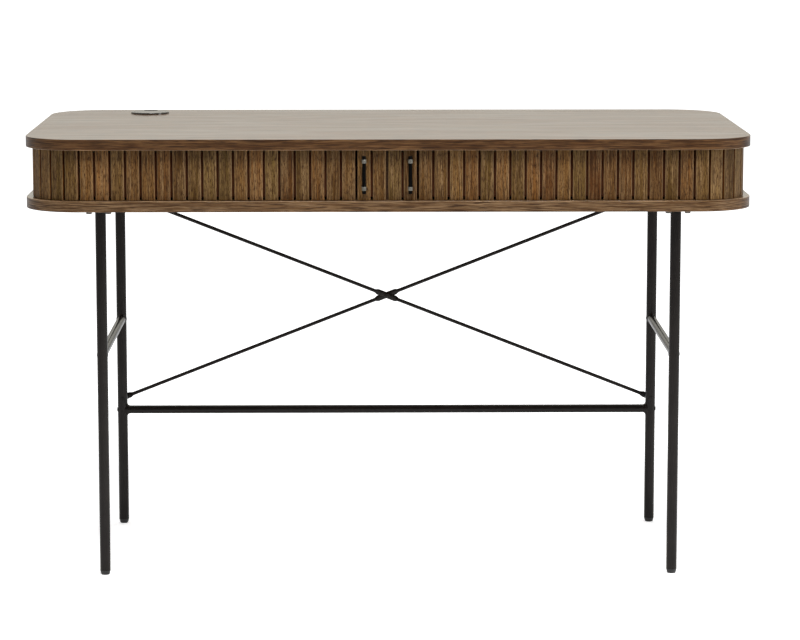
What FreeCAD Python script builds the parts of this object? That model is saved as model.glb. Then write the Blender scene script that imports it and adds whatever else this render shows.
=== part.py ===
import FreeCAD, Part
import math
import os

# Tambour desk: a shallow storage box between two rounded walnut panels, closed all round its
# front, sides and rear corners by slats that slide in a track, on four slim steel tube legs.
# Millimetres. X runs to the right, Y to the back, Z up. The origin is on the floor under the
# middle of the panels, and "left" and "right" are as seen from the front.

# ---- Panels -----------------------------------------------------------------------------
desk_width = 1200.0
desk_depth = 600.0
desk_height = 746.0
top_thickness = 18.0
bottom_thickness = 18.0
storage_height = 83.0
panel_corner_radius = 93.0
panel_arris_round = 1.0

# ---- Tambour curtain and its track --------------------------------------------------------
face_recess = 11.3
slat_width = 22.7
slat_gap = 2.45
slat_thickness = 8.0
slat_side_taper = 1.0
slat_edge_round = 3.0
slat_end_gap = 0.8
tongue_width = 16.0
tongue_thickness = 4.5
tongue_length = 5.0
track_side_gap = 0.3
track_end_gap = 0.5
canvas_thickness = 0.9
canvas_edge_margin = 5.0
lead_slats = 2
seam_x = -3.0

# ---- Bar pulls ----------------------------------------------------------------------------
pull_length = 62.0
pull_bar_radius = 3.25
pull_bar_end_round = 1.3
pull_projection = 20.0
pull_above_middle = 1.8
collar_radius = 4.1
collar_height = 7.5
collar_from_end = 4.5
collar_fit = 0.05
post_radius = 3.0
pull_screw_radius = 1.5
pull_screw_head_radius = 3.0
pull_screw_head_height = 1.3
pull_screw_bite = 7.0
pull_slat = 1

# ---- Walls inside the box -----------------------------------------------------------------
wall_thickness = 15.0
curtain_to_wall_gap = 3.7
side_pocket_width = 102.5
back_panel_thickness = 9.0
back_panel_to_curtain_gap = 1.3
back_panel_overlap = 12.0

# ---- Joinery of the box -------------------------------------------------------------------
dowel_radius = 4.0
dowel_length = 24.0
dowel_from_edge = 110.0
dowel_fit = 0.05
wall_screw_radius = 2.0
wall_screw_length = 40.0
wall_screw_head_radius = 4.0
wall_screw_head_height = 2.6
wall_screw_from_edge = 200.0
wall_screw_fit = 0.05
back_dowel_radius = 2.5
back_dowel_from_side = 180.0

# ---- Cable grommet ------------------------------------------------------------------------
grommet_from_side = 175.2
grommet_from_back = 76.0
grommet_flange_radius = 34.1
grommet_flange_height = 3.0
grommet_flange_round = 1.2
grommet_barrel_radius = 29.8
grommet_barrel_depth = 16.0
grommet_hole_gap = 0.2
grommet_bore_radius = 25.5
cap_radius = 27.7
cap_thickness = 3.4
cap_gap = 0.3
cap_notch_width = 23.5
cap_notch_depth = 14.0
cap_notch_round = 3.0

# ---- Legs and their mounting plates -------------------------------------------------------
leg_from_side = 121.0
leg_from_edge = 99.0
leg_radius = 9.0
leg_wall = 1.5
plate_width = 52.0
plate_depth = 88.0
plate_thickness = 4.0
plate_corner_radius = 8.0
leg_bolt_x = 16.0
leg_bolt_y = 33.0
leg_bolt_radius = 3.0
leg_bolt_head_radius = 4.8
leg_bolt_head_height = 6.0
leg_bolt_bite = 12.0
leg_bolt_socket_radius = 2.0
leg_bolt_socket_depth = 3.0
bolt_hole_gap = 0.1
bolt_hole_extra_depth = 1.0
glide_height = 7.4
glide_tip_radius = 7.0
glide_tip_round = 0.8
glide_plug_length = 14.0
glide_plug_gap = 0.1

# ---- Rails, stretcher and cross brace -----------------------------------------------------
side_rail_height = 375.4
side_rail_radius = 7.6
side_rail_wall = 1.2
stretcher_height = 209.4
stretcher_radius = 7.4
stretcher_wall = 1.2
saddle_radius = 11.7
saddle_depth = 5.4
saddle_width = 16.4
saddle_wrap = 3.6
spigot_length = 16.0
spigot_gap = 0.1
stretcher_bolt_radius = 2.5
stretcher_bolt_head_radius = 4.5
stretcher_bolt_head_height = 3.0
brace_low_height = 229.0
brace_below_panel = 23.0
brace_rod_radius = 3.0
brace_flat_width = 10.7
brace_flat_thickness = 2.4
brace_centre_flat_half = 16.0
brace_end_flat_length = 13.0
brace_flare_length = 7.5
brace_gap = 0.1
brace_bolt_radius = 2.0
brace_bolt_head_radius = 3.8
brace_bolt_head_height = 2.4
brace_nut_height = 2.6
rivet_radius = 2.5
rivet_head_radius = 4.2
rivet_head_top_radius = 2.3
rivet_head_height = 1.8

# ---- Making -------------------------------------------------------------------------------
# How far a cutting shape runs past the faces that it opens.
past = 1.0

# ---- Heights and faces that follow from these ---------------------------------------------
ceiling = desk_height - top_thickness
floor = ceiling - storage_height
underside = floor - bottom_thickness
half_width = desk_width / 2
half_depth = desk_depth / 2
slat_pitch = slat_width + slat_gap
face_radius = panel_corner_radius - face_recess
face_y = half_depth - face_recess
curtain_inset = face_recess + slat_thickness + canvas_thickness
liner_inset = curtain_inset + curtain_to_wall_gap
corner_x = half_width - panel_corner_radius
corner_y = half_depth - panel_corner_radius
straight_slats = int((corner_x - abs(seam_x)) // slat_pitch)
wall_outer_x = half_width - side_pocket_width
wall_inner_x = wall_outer_x - wall_thickness
wall_centre_x = wall_outer_x - wall_thickness / 2
wall_front_y = -half_depth + liner_inset
wall_back_y = half_depth - liner_inset
dowel_y = half_depth - dowel_from_edge
wall_screw_y = half_depth - wall_screw_from_edge
back_dowel_x = half_width - back_dowel_from_side
grommet_x = -(half_width - grommet_from_side)
grommet_y = half_depth - grommet_from_back
leg_x = half_width - leg_from_side
leg_y = half_depth - leg_from_edge
brace_high_height = underside - brace_below_panel
sides = {"left": -1, "right": 1}
leg_ends = {"front": -1, "back": 1}


def box(low, high):
    size = FreeCAD.Vector(*high) - FreeCAD.Vector(*low)
    return Part.makeBox(size.x, size.y, size.z, FreeCAD.Vector(*low))


def rod(start, end, radius):
    """A round bar from one point to another."""
    line = FreeCAD.Vector(*end) - FreeCAD.Vector(*start)
    return Part.makeCylinder(radius, line.Length, FreeCAD.Vector(*start), line)


def tube(start, end, radius, wall):
    return rod(start, end, radius).cut(rod(start, end, radius - wall))


def prism(points, low, high):
    """A flat outline of (x, y) points, drawn at height low and extruded up to high."""
    corners = [FreeCAD.Vector(x, y, low) for x, y in points]
    outline = Part.makePolygon(corners + corners[:1])
    return Part.Face(outline).extrude(FreeCAD.Vector(0, 0, high - low))


def revolve(profile):
    """Turns a profile of (radius, height) points round the Z axis."""
    corners = [FreeCAD.Vector(radius, 0, height) for radius, height in profile]
    outline = Part.makePolygon(corners + corners[:1])
    return Part.Face(outline).revolve(FreeCAD.Vector(0, 0, 0), FreeCAD.Vector(0, 0, 1), 360)


def rounded_plate(width, depth, radius, low, high, centre=(0, 0)):
    """A flat plate with round corners."""
    x, y = width / 2, depth / 2
    plate = box((centre[0] - x, centre[1] - y, low), (centre[0] + x, centre[1] + y, high))
    upright = [edge for edge in plate.Edges if edge.BoundBox.ZLength > (high - low) / 2]
    return plate.makeFillet(radius, upright)


def inset_plate(inset, low, high):
    """The panels' own outline, drawn in by an inset all round."""
    return rounded_plate(
        desk_width - 2 * inset, desk_depth - 2 * inset, panel_corner_radius - inset, low, high
    )


def group(shapes):
    return shapes[0] if len(shapes) == 1 else Part.makeCompound(shapes)


# ---- The track and the slats in it --------------------------------------------------------


def track_place(side, distance):
    """Where the curtain's face is, and how far it has turned, at a distance from the seam."""
    run = corner_x - side * seam_x
    corner = face_radius * math.pi / 2
    flank = desk_depth - 2 * panel_corner_radius
    if distance <= run:
        return seam_x + side * distance, -face_y, 0.0
    distance -= run
    if distance <= corner:
        turn = distance / face_radius
        x = corner_x + face_radius * math.sin(turn)
        return side * x, -corner_y - face_radius * math.cos(turn), side * math.degrees(turn)
    distance -= corner
    if distance <= flank:
        return side * (half_width - face_recess), -corner_y + distance, side * 90.0
    distance -= flank
    if distance <= corner:
        turn = distance / face_radius
        x = corner_x + face_radius * math.cos(turn)
        return side * x, corner_y + face_radius * math.sin(turn), side * (90.0 + math.degrees(turn))
    distance -= corner
    return side * (corner_x - distance), face_y, side * 180.0


def track_length(side):
    """The curtain's length from the seam to the end of the rear corner."""
    return corner_x - side * seam_x + face_radius * math.pi + desk_depth - 2 * panel_corner_radius


def track_groove(low, high):
    """The closed loop that the slats' tongues run in, wide enough for them to round a corner."""
    tongue_radius = face_radius - slat_thickness / 2
    corner_swing = tongue_width**2 / (8 * tongue_radius)
    outer = face_recess + (slat_thickness - tongue_thickness) / 2 - track_side_gap - corner_swing
    inner = face_recess + (slat_thickness + tongue_thickness) / 2 + track_side_gap
    return inset_plate(outer, low, high).cut(inset_plate(inner, low, high))


def slat():
    """One slat at the origin, its face on Y = 0 and its back towards +Y, a tongue at each end."""
    half = slat_width / 2
    back = half - slat_side_taper
    outline = [(-half, 0), (half, 0), (back, slat_thickness), (-back, slat_thickness)]
    blank = prism(outline, floor + slat_end_gap, ceiling - slat_end_gap)
    upright = [edge for edge in blank.Edges if edge.BoundBox.ZLength > storage_height / 2]
    front = [edge for edge in upright if edge.BoundBox.YMax < slat_thickness / 2]
    body = blank.makeFillet(slat_edge_round, front)
    middle = slat_thickness / 2
    tongue = box(
        (-tongue_width / 2, middle - tongue_thickness / 2, floor - tongue_length),
        (tongue_width / 2, middle + tongue_thickness / 2, ceiling + tongue_length),
    )
    return body.fuse(tongue).removeSplitter()


def place_on_track(shape, side, number):
    """Moves a shape made at the origin to where the slat of that number stands."""
    x, y, turn = track_place(side, (number + 0.5) * slat_pitch)
    placed = shape.copy()
    placed.rotate(FreeCAD.Vector(0, 0, 0), FreeCAD.Vector(0, 0, 1), turn)
    placed.translate(FreeCAD.Vector(x, y, 0))
    return placed


def slat_run(side, first, last):
    """The slats from one number up to, but not including, another, counted from the seam."""
    return [place_on_track(slat(), side, number) for number in range(first, last)]


def canvas_box(side, first, last):
    """The flat canvas behind a straight run of slats."""
    near = seam_x + side * (first * slat_pitch + slat_gap / 2)
    far = seam_x + side * (last * slat_pitch - slat_gap / 2)
    front = -face_y + slat_thickness
    return box(
        (min(near, far), front, floor + canvas_edge_margin),
        (max(near, far), front + canvas_thickness, ceiling - canvas_edge_margin),
    )


def side_canvas(side):
    """The canvas behind the slats that go round the corners and along the side."""
    inset = face_recess + slat_thickness
    low, high = floor + canvas_edge_margin, ceiling - canvas_edge_margin
    loop = inset_plate(inset, low, high).cut(inset_plate(inset + canvas_thickness, low, high))
    start = seam_x + side * straight_slats * slat_pitch
    end = side * desk_width
    half = box((min(start, end), -desk_depth, low - past), (max(start, end), desk_depth, high + past))
    return loop.common(half)


# ---- Bar pulls ----------------------------------------------------------------------------


def pull_centre():
    """The middle of the pull's bar on its own slat, which stands at the origin."""
    return -(pull_projection - pull_bar_radius), (floor + ceiling) / 2 + pull_above_middle


def post_heights():
    """The middles of the two collars."""
    reach = pull_length / 2 - collar_from_end - collar_height / 2
    middle = pull_centre()[1]
    return [middle - reach, middle + reach]


def pull_bar():
    bar_y, middle = pull_centre()
    low, high = middle - pull_length / 2, middle + pull_length / 2
    bar = rod((0, bar_y, low), (0, bar_y, high), pull_bar_radius)
    rims = [edge for edge in bar.Edges if len(edge.Vertexes) == 1]
    return bar.makeFillet(pull_bar_end_round, rims)


def pull_post(height):
    """A collar round the bar with its round foot, bored for the bar and for the screw."""
    bar_y = pull_centre()[0]
    low, high = height - collar_height / 2, height + collar_height / 2
    collar = rod((0, bar_y, low), (0, bar_y, high), collar_radius)
    foot = rod((0, bar_y, height), (0, 0, height), post_radius)
    bore = rod((0, bar_y, low - past), (0, bar_y, high + past), pull_bar_radius + collar_fit)
    screw_end = -pull_screw_bite - collar_fit
    screw_way = rod((0, screw_end, height), (0, past, height), pull_screw_radius + collar_fit)
    return collar.fuse(foot).cut(bore).cut(screw_way)


def pull_screw(height):
    """A screw from behind the canvas, through the slat, into the foot of the pull."""
    back = slat_thickness + canvas_thickness
    shank = rod((0, -pull_screw_bite, height), (0, back, height), pull_screw_radius)
    head = rod((0, back, height), (0, back + pull_screw_head_height, height), pull_screw_head_radius)
    return shank.fuse(head)


def pull_screw_holes():
    back = slat_thickness + canvas_thickness
    radius = pull_screw_radius + collar_fit
    return [rod((0, -past, z), (0, back + past, z), radius) for z in post_heights()]


def pierce(shapes, side):
    """Drills the pull's screw holes through slats or canvas that stand on the track."""
    drilled = []
    for shape in shapes:
        for hole in pull_screw_holes():
            shape = shape.cut(place_on_track(hole, side, pull_slat))
        drilled.append(shape)
    return drilled


# ---- Box panels ---------------------------------------------------------------------------


def panel(low, high):
    """A veneered panel with round corners and a small round on its arrises."""
    plate = inset_plate(0, low, high)
    flat = [edge for edge in plate.Edges if edge.BoundBox.ZLength < panel_arris_round]
    return plate.makeFillet(panel_arris_round, flat)


def wall_lines():
    """The X of each wall that stands front to back between the panels."""
    return [-wall_centre_x, 0.0, wall_centre_x]


def dowel_places():
    return [(x, y) for x in wall_lines() for y in (-dowel_y, dowel_y)]


def wall_screw_places():
    return [(x, y) for x in wall_lines() for y in (-wall_screw_y, wall_screw_y)]


def upright_pin(x, y, level, radius, extra):
    """A dowel that stands half in one board and half in the next; extra widens it into its hole."""
    half = dowel_length / 2 + extra
    return rod((x, y, level - half), (x, y, level + half), radius + extra)


def panel_dowels(extra=0.0):
    """The dowels between the walls and the top, and between the back panel and both panels."""
    dowels = [upright_pin(x, y, ceiling, dowel_radius, extra) for x, y in dowel_places()]
    back_y = back_panel_inner_y() + back_panel_thickness / 2
    for x in (-back_dowel_x, 0.0, back_dowel_x):
        for level in (floor, ceiling):
            dowels.append(upright_pin(x, back_y, level, back_dowel_radius, extra))
    return dowels


def wall_screw(x, y, extra):
    """A countersunk screw up through the bottom panel; extra widens it into its own hole."""
    profile = [
        (0, -extra),
        (wall_screw_head_radius + extra, -extra),
        (wall_screw_head_radius + extra, 0),
        (wall_screw_radius + extra, wall_screw_head_height),
        (wall_screw_radius + extra, wall_screw_length + extra),
        (0, wall_screw_length + extra),
    ]
    screw = revolve(profile)
    screw.translate(FreeCAD.Vector(x, y, underside))
    return screw


def wall_screws(extra=0.0):
    return [wall_screw(x, y, extra) for x, y in wall_screw_places()]


def drill(shape, tools):
    for tool in tools:
        shape = shape.cut(tool)
    return shape


def top_panel():
    groove = track_groove(ceiling, ceiling + tongue_length + track_end_gap)
    grommet_hole = rod(
        (grommet_x, grommet_y, ceiling - past),
        (grommet_x, grommet_y, desk_height + past),
        grommet_barrel_radius + grommet_hole_gap,
    )
    return drill(panel(ceiling, desk_height), [groove, grommet_hole] + panel_dowels(dowel_fit))


def bottom_panel():
    groove = track_groove(floor - tongue_length - track_end_gap, floor)
    holes = wall_screws(wall_screw_fit) + panel_dowels(dowel_fit)
    deep = underside + leg_bolt_bite + bolt_hole_extra_depth
    for leg_place in leg_places():
        for x, y in leg_bolt_places(*leg_place):
            holes.append(rod((x, y, underside - past), (x, y, deep), leg_bolt_radius + bolt_hole_gap))
    return drill(panel(underside, floor), [groove] + holes)


def standing_wall(x):
    """A board between the panels, from just behind the front curtain to the inner back."""
    half = wall_thickness / 2
    board = box((x - half, wall_front_y, floor), (x + half, wall_back_y, ceiling))
    return drill(board, panel_dowels(dowel_fit) + wall_screws(wall_screw_fit))


def inner_back(side):
    """The board between the centre wall and a side wall that keeps the bay clear of the curtain."""
    near, far = side * wall_thickness / 2, side * wall_inner_x
    front = wall_back_y - back_panel_thickness
    return box((min(near, far), front, floor), (max(near, far), wall_back_y, ceiling))


def back_panel_inner_y():
    return face_y + back_panel_to_curtain_gap


def back_panel():
    """The plain board across the back, past whose inner face the tail of the curtain slides."""
    reach = corner_x + back_panel_overlap
    inner = back_panel_inner_y()
    board = box((-reach, inner, floor), (reach, inner + back_panel_thickness, ceiling))
    return drill(board, panel_dowels(dowel_fit))


# ---- Cable grommet ------------------------------------------------------------------------


def grommet_place(shape):
    shape.translate(FreeCAD.Vector(grommet_x, grommet_y, desk_height))
    return shape


def cap_seat_depth():
    """How far the cap's seat lies below the flange's top face."""
    return cap_thickness + cap_gap


def grommet_sleeve():
    """A flanged plastic sleeve with a step inside that the cap turns on."""
    recess = cap_radius + cap_gap
    top = grommet_flange_height
    profile = [
        (grommet_bore_radius, -grommet_barrel_depth),
        (grommet_barrel_radius, -grommet_barrel_depth),
        (grommet_barrel_radius, 0),
        (grommet_flange_radius, 0),
        (grommet_flange_radius, top - grommet_flange_round),
        (grommet_flange_radius - grommet_flange_round, top),
        (recess, top),
        (recess, top - cap_seat_depth()),
        (grommet_bore_radius, top - cap_seat_depth()),
    ]
    return grommet_place(revolve(profile))


def grommet_cap():
    """A flat cap with a cable notch in its rear edge."""
    top = grommet_flange_height
    disc = rod((0, 0, top - cap_thickness), (0, 0, top), cap_radius)
    length = 2 * cap_radius
    middle = cap_radius - cap_notch_depth + length / 2
    low, high = top - cap_thickness - past, top + past
    notch = rounded_plate(cap_notch_width, length, cap_notch_round, low, high, (0, middle))
    return grommet_place(disc.cut(notch))


# ---- Legs ---------------------------------------------------------------------------------


def leg_places():
    return [(x * leg_x, y * leg_y) for x in (-1, 1) for y in (-1, 1)]


def leg_bolt_places(x, y):
    return [(x + i * leg_bolt_x, y + j * leg_bolt_y) for i in (-1, 1) for j in (-1, 1)]


def leg(x, y):
    """A plain tube from its glide up to its mounting plate."""
    pipe = tube((x, y, glide_height), (x, y, underside - plate_thickness), leg_radius, leg_wall)
    if y < 0:
        return pipe
    reach = 2 * leg_radius
    z = stretcher_height
    holes = [rod((x - reach, y, z), (x + reach, y, z), stretcher_bolt_radius + bolt_hole_gap)]
    for z in (brace_low_height, brace_high_height):
        holes.append(rod((x, y - reach, z), (x, y + reach, z), brace_bolt_radius + bolt_hole_gap))
    return drill(pipe, holes)


def mounting_plate(x, y):
    """The steel plate welded on a leg and bolted to the bottom panel."""
    low = underside - plate_thickness
    plate = rounded_plate(plate_width, plate_depth, plate_corner_radius, low, underside, (x, y))
    radius = leg_bolt_radius + bolt_hole_gap
    holes = [
        rod((hole_x, hole_y, low - past), (hole_x, hole_y, underside + past), radius)
        for hole_x, hole_y in leg_bolt_places(x, y)
    ]
    return drill(plate, holes)


def leg_bolt(x, y):
    """A socket head bolt up through a mounting plate into the bottom panel."""
    seat = underside - plate_thickness
    bottom = seat - leg_bolt_head_height
    shank = rod((x, y, seat), (x, y, underside + leg_bolt_bite), leg_bolt_radius)
    head = rod((x, y, bottom), (x, y, seat), leg_bolt_head_radius)
    socket = rod((x, y, bottom - past), (x, y, bottom + leg_bolt_socket_depth), leg_bolt_socket_radius)
    return head.fuse(shank).cut(socket)


def glide(x, y):
    """A tapered foot with a plug that is pushed up into the leg."""
    plug_radius = leg_radius - leg_wall - glide_plug_gap
    profile = [
        (0, 0),
        (glide_tip_radius - glide_tip_round, 0),
        (glide_tip_radius, glide_tip_round),
        (leg_radius, glide_height),
        (plug_radius, glide_height),
        (plug_radius, glide_height + glide_plug_length),
        (0, glide_height + glide_plug_length),
    ]
    foot = revolve(profile)
    foot.translate(FreeCAD.Vector(x, y, 0))
    return foot


def side_rail(x):
    """A tube from front leg to back leg, its ends cut to the round of the legs."""
    z = side_rail_height
    pipe = tube((x, -leg_y, z), (x, leg_y, z), side_rail_radius, side_rail_wall)
    reach = 2 * side_rail_radius
    legs = [rod((x, y, z - reach), (x, y, z + reach), leg_radius) for y in (-leg_y, leg_y)]
    return drill(pipe, legs)


# ---- Back stretcher -----------------------------------------------------------------------


def stretcher_end():
    """The X where the stretcher's tube meets its saddle."""
    return leg_x - leg_radius - saddle_depth


def stretcher():
    reach = stretcher_end()
    z = stretcher_height
    return tube((-reach, leg_y, z), (reach, leg_y, z), stretcher_radius, stretcher_wall)


def saddle(side):
    """A flared end that hugs the leg, with a spigot inside the stretcher's tube."""
    spigot_radius = stretcher_radius - stretcher_wall - spigot_gap
    start = stretcher_end()
    near_side = leg_x - leg_radius
    across, along = FreeCAD.Vector(start, 0, 0), FreeCAD.Vector(1, 0, 0)
    flare = Part.makeCone(stretcher_radius, saddle_radius, saddle_depth, across, along)
    lip = rod((near_side, 0, 0), (leg_x, 0, 0), saddle_radius)
    spigot = rod((start - spigot_length, 0, 0), (start, 0, 0), spigot_radius)
    half = saddle_width / 2
    slab = box((start - past, -half, -desk_height), (near_side + saddle_wrap, half, desk_height))
    head = flare.fuse(lip).common(slab).fuse(spigot)
    leg_round = rod((leg_x, 0, -desk_height), (leg_x, 0, desk_height), leg_radius)
    bolt_way = rod((0, 0, 0), (leg_x, 0, 0), stretcher_bolt_radius + bolt_hole_gap)
    shape = head.cut(leg_round).cut(bolt_way)
    if side < 0:
        shape = shape.mirror(FreeCAD.Vector(0, 0, 0), FreeCAD.Vector(1, 0, 0))
    shape.translate(FreeCAD.Vector(0, leg_y, stretcher_height))
    return shape


def stretcher_bolt(side):
    """A bolt from outside the leg, through it and the saddle, into the spigot."""
    tip = side * (stretcher_end() - spigot_length)
    seat = side * (leg_x + leg_radius)
    crown = seat + side * stretcher_bolt_head_height
    y, z = leg_y, stretcher_height
    shank = rod((tip, y, z), (seat, y, z), stretcher_bolt_radius)
    head = rod((seat, y, z), (crown, y, z), stretcher_bolt_head_radius)
    return shank.fuse(head)


# ---- Cross brace --------------------------------------------------------------------------


def brace_length():
    """The distance between the bolts at the two ends of a brace rod."""
    return math.hypot(2 * leg_x, brace_high_height - brace_low_height)


def brace_middle_height():
    return (brace_low_height + brace_high_height) / 2


def brace_plane(number):
    """The Y of a rod: the first lies on the back legs, the second on the first."""
    first = leg_y + leg_radius + brace_flat_thickness / 2
    return first + number * (brace_flat_thickness + brace_gap)


def flat_outline(x):
    """The pressed-flat section of a rod, standing across it at x."""
    wide = FreeCAD.Vector(x, 0, brace_flat_width / 2)
    thin = FreeCAD.Vector(x, brace_flat_thickness / 2, 0)
    ellipse = Part.Ellipse(wide, thin, FreeCAD.Vector(x, 0, 0))
    return Part.Wire([ellipse.toShape()])


def round_outline(x):
    circle = Part.Circle(FreeCAD.Vector(x, 0, 0), FreeCAD.Vector(1, 0, 0), brace_rod_radius)
    return Part.Wire([circle.toShape()])


def pressed_flat(start, end):
    return Part.Face(flat_outline(start)).extrude(FreeCAD.Vector(end - start, 0, 0))


def flare(round_x, flat_x):
    """Where the round rod spreads into its flat."""
    return Part.makeLoft([round_outline(round_x), flat_outline(flat_x)], True)


def brace_rod(number, lean):
    """One rod of the cross, flat where it is riveted and at both ends."""
    half = brace_length() / 2
    middle_round = brace_centre_flat_half + brace_flare_length
    end_flat = half - brace_end_flat_length
    end_round = end_flat - brace_flare_length
    thin = brace_flat_thickness / 2
    through = thin + past
    shape = pressed_flat(-brace_centre_flat_half, brace_centre_flat_half)
    for way in (-1, 1):
        end = way * half
        shape = shape.fuse(flare(way * middle_round, way * brace_centre_flat_half))
        shape = shape.fuse(rod((way * middle_round, 0, 0), (way * end_round, 0, 0), brace_rod_radius))
        shape = shape.fuse(flare(way * end_round, way * end_flat))
        shape = shape.fuse(pressed_flat(way * end_flat, end))
        shape = shape.fuse(rod((end, -thin, 0), (end, thin, 0), brace_flat_width / 2))
        shape = shape.cut(rod((end, -through, 0), (end, through, 0), brace_bolt_radius + bolt_hole_gap))
    shape = shape.cut(rod((0, -through, 0), (0, through, 0), rivet_radius + bolt_hole_gap))
    angle = math.degrees(math.atan2(brace_high_height - brace_low_height, 2 * leg_x))
    shape.rotate(FreeCAD.Vector(0, 0, 0), FreeCAD.Vector(0, 1, 0), -lean * angle)
    shape.translate(FreeCAD.Vector(0, brace_plane(number), brace_middle_height()))
    return shape


def brace_ends(lean):
    """Where a rod is bolted: X and Z of its two ends."""
    return [(-lean * leg_x, brace_low_height), (lean * leg_x, brace_high_height)]


def brace_bolt(x, z, number):
    """A bolt through a back leg and the end of a rod, with its nut on the front of the leg."""
    front = leg_y - leg_radius
    rear = brace_plane(number) + brace_flat_thickness / 2
    shank = rod((x, front - brace_nut_height, z), (x, rear, z), brace_bolt_radius)
    head = rod((x, rear, z), (x, rear + brace_bolt_head_height, z), brace_bolt_head_radius)
    nut = rod((x, front - brace_nut_height, z), (x, front, z), brace_bolt_head_radius)
    return head.fuse(shank).fuse(nut)


def brace_spacer(x, z):
    """The washer that carries the second rod at the first rod's distance from the leg."""
    start = leg_y + leg_radius
    end = brace_plane(1) - brace_flat_thickness / 2
    ring = rod((x, start, z), (x, end, z), brace_flat_width / 2)
    return ring.cut(rod((x, start - past, z), (x, end + past, z), brace_bolt_radius + bolt_hole_gap))


def brace_rivet():
    """The rivet through both rods, with a low head on each side."""
    z = brace_middle_height()
    front = brace_plane(0) - brace_flat_thickness / 2
    rear = brace_plane(1) + brace_flat_thickness / 2
    shape = rod((0, front, z), (0, rear, z), rivet_radius)
    for face, way in ((front, -1), (rear, 1)):
        seat, outward = FreeCAD.Vector(0, face, z), FreeCAD.Vector(0, way, 0)
        head = Part.makeCone(
            rivet_head_radius, rivet_head_top_radius, rivet_head_height, seat, outward
        )
        shape = shape.fuse(head)
    return shape


# ---- The parts list -----------------------------------------------------------------------


def curtain_nodes(name, side):
    """One door's slats, canvas and pull, and the slats that stand round the corners."""
    last = math.ceil(track_length(side) / slat_pitch)
    screws = [place_on_track(pull_screw(height), side, pull_slat) for height in post_heights()]
    posts = [place_on_track(pull_post(height), side, pull_slat) for height in post_heights()]
    lead = slat_run(side, 0, lead_slats)
    lead[pull_slat : pull_slat + 1] = pierce([lead[pull_slat]], side)
    return {
        name + "_lead_slats": group(lead),
        name + "_lead_canvas": group(pierce([canvas_box(side, 0, lead_slats)], side)),
        name + "_front_slats": group(slat_run(side, lead_slats, straight_slats)),
        name + "_front_canvas": canvas_box(side, lead_slats, straight_slats),
        name + "_side_slats": group(slat_run(side, straight_slats, last)),
        name + "_side_canvas": side_canvas(side),
        name + "_pull_bar": place_on_track(pull_bar(), side, pull_slat),
        name + "_pull_posts": group(posts),
        name + "_pull_screws": group(screws),
    }


def box_nodes():
    return {
        "top_panel": top_panel(),
        "bottom_panel": bottom_panel(),
        "back_panel": back_panel(),
        "centre_wall": standing_wall(0.0),
        "left_wall": standing_wall(-wall_centre_x),
        "right_wall": standing_wall(wall_centre_x),
        "left_inner_back": inner_back(-1),
        "right_inner_back": inner_back(1),
        "panel_dowels": group(panel_dowels()),
        "wall_screws": group(wall_screws()),
        "cable_grommet_sleeve": grommet_sleeve(),
        "cable_grommet_cap": grommet_cap(),
    }


def frame_nodes():
    nodes = {}
    bolts = []
    for end, y_way in leg_ends.items():
        for side, x_way in sides.items():
            x, y = x_way * leg_x, y_way * leg_y
            nodes[end + "_" + side + "_leg"] = leg(x, y)
            nodes[end + "_" + side + "_mounting_plate"] = mounting_plate(x, y)
            nodes[end + "_" + side + "_glide"] = glide(x, y)
            bolts += [leg_bolt(bx, by) for bx, by in leg_bolt_places(x, y)]
    nodes["leg_bolts"] = group(bolts)
    for side, way in sides.items():
        nodes[side + "_side_rail"] = side_rail(way * leg_x)
        nodes[side + "_stretcher_saddle"] = saddle(way)
    nodes["back_stretcher"] = stretcher()
    nodes["stretcher_bolts"] = group([stretcher_bolt(way) for way in sides.values()])
    nodes["front_brace_rod"] = brace_rod(0, -1)
    nodes["rear_brace_rod"] = brace_rod(1, 1)
    brace_bolts = [brace_bolt(x, z, 0) for x, z in brace_ends(-1)]
    brace_bolts += [brace_bolt(x, z, 1) for x, z in brace_ends(1)]
    nodes["brace_bolts"] = group(brace_bolts)
    nodes["brace_spacers"] = group([brace_spacer(x, z) for x, z in brace_ends(1)])
    nodes["brace_rivet"] = brace_rivet()
    return nodes


all_nodes = {}
all_nodes.update(box_nodes())
for side_name, side_way in sides.items():
    all_nodes.update(curtain_nodes(side_name, side_way))
all_nodes.update(frame_nodes())

os.makedirs("parts", exist_ok=True)
for node, shape in all_nodes.items():
    shape.exportStep("parts/" + node + ".step")
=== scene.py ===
import math
import random

import bmesh
import bpy
from mathutils import Matrix, Vector


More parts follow.
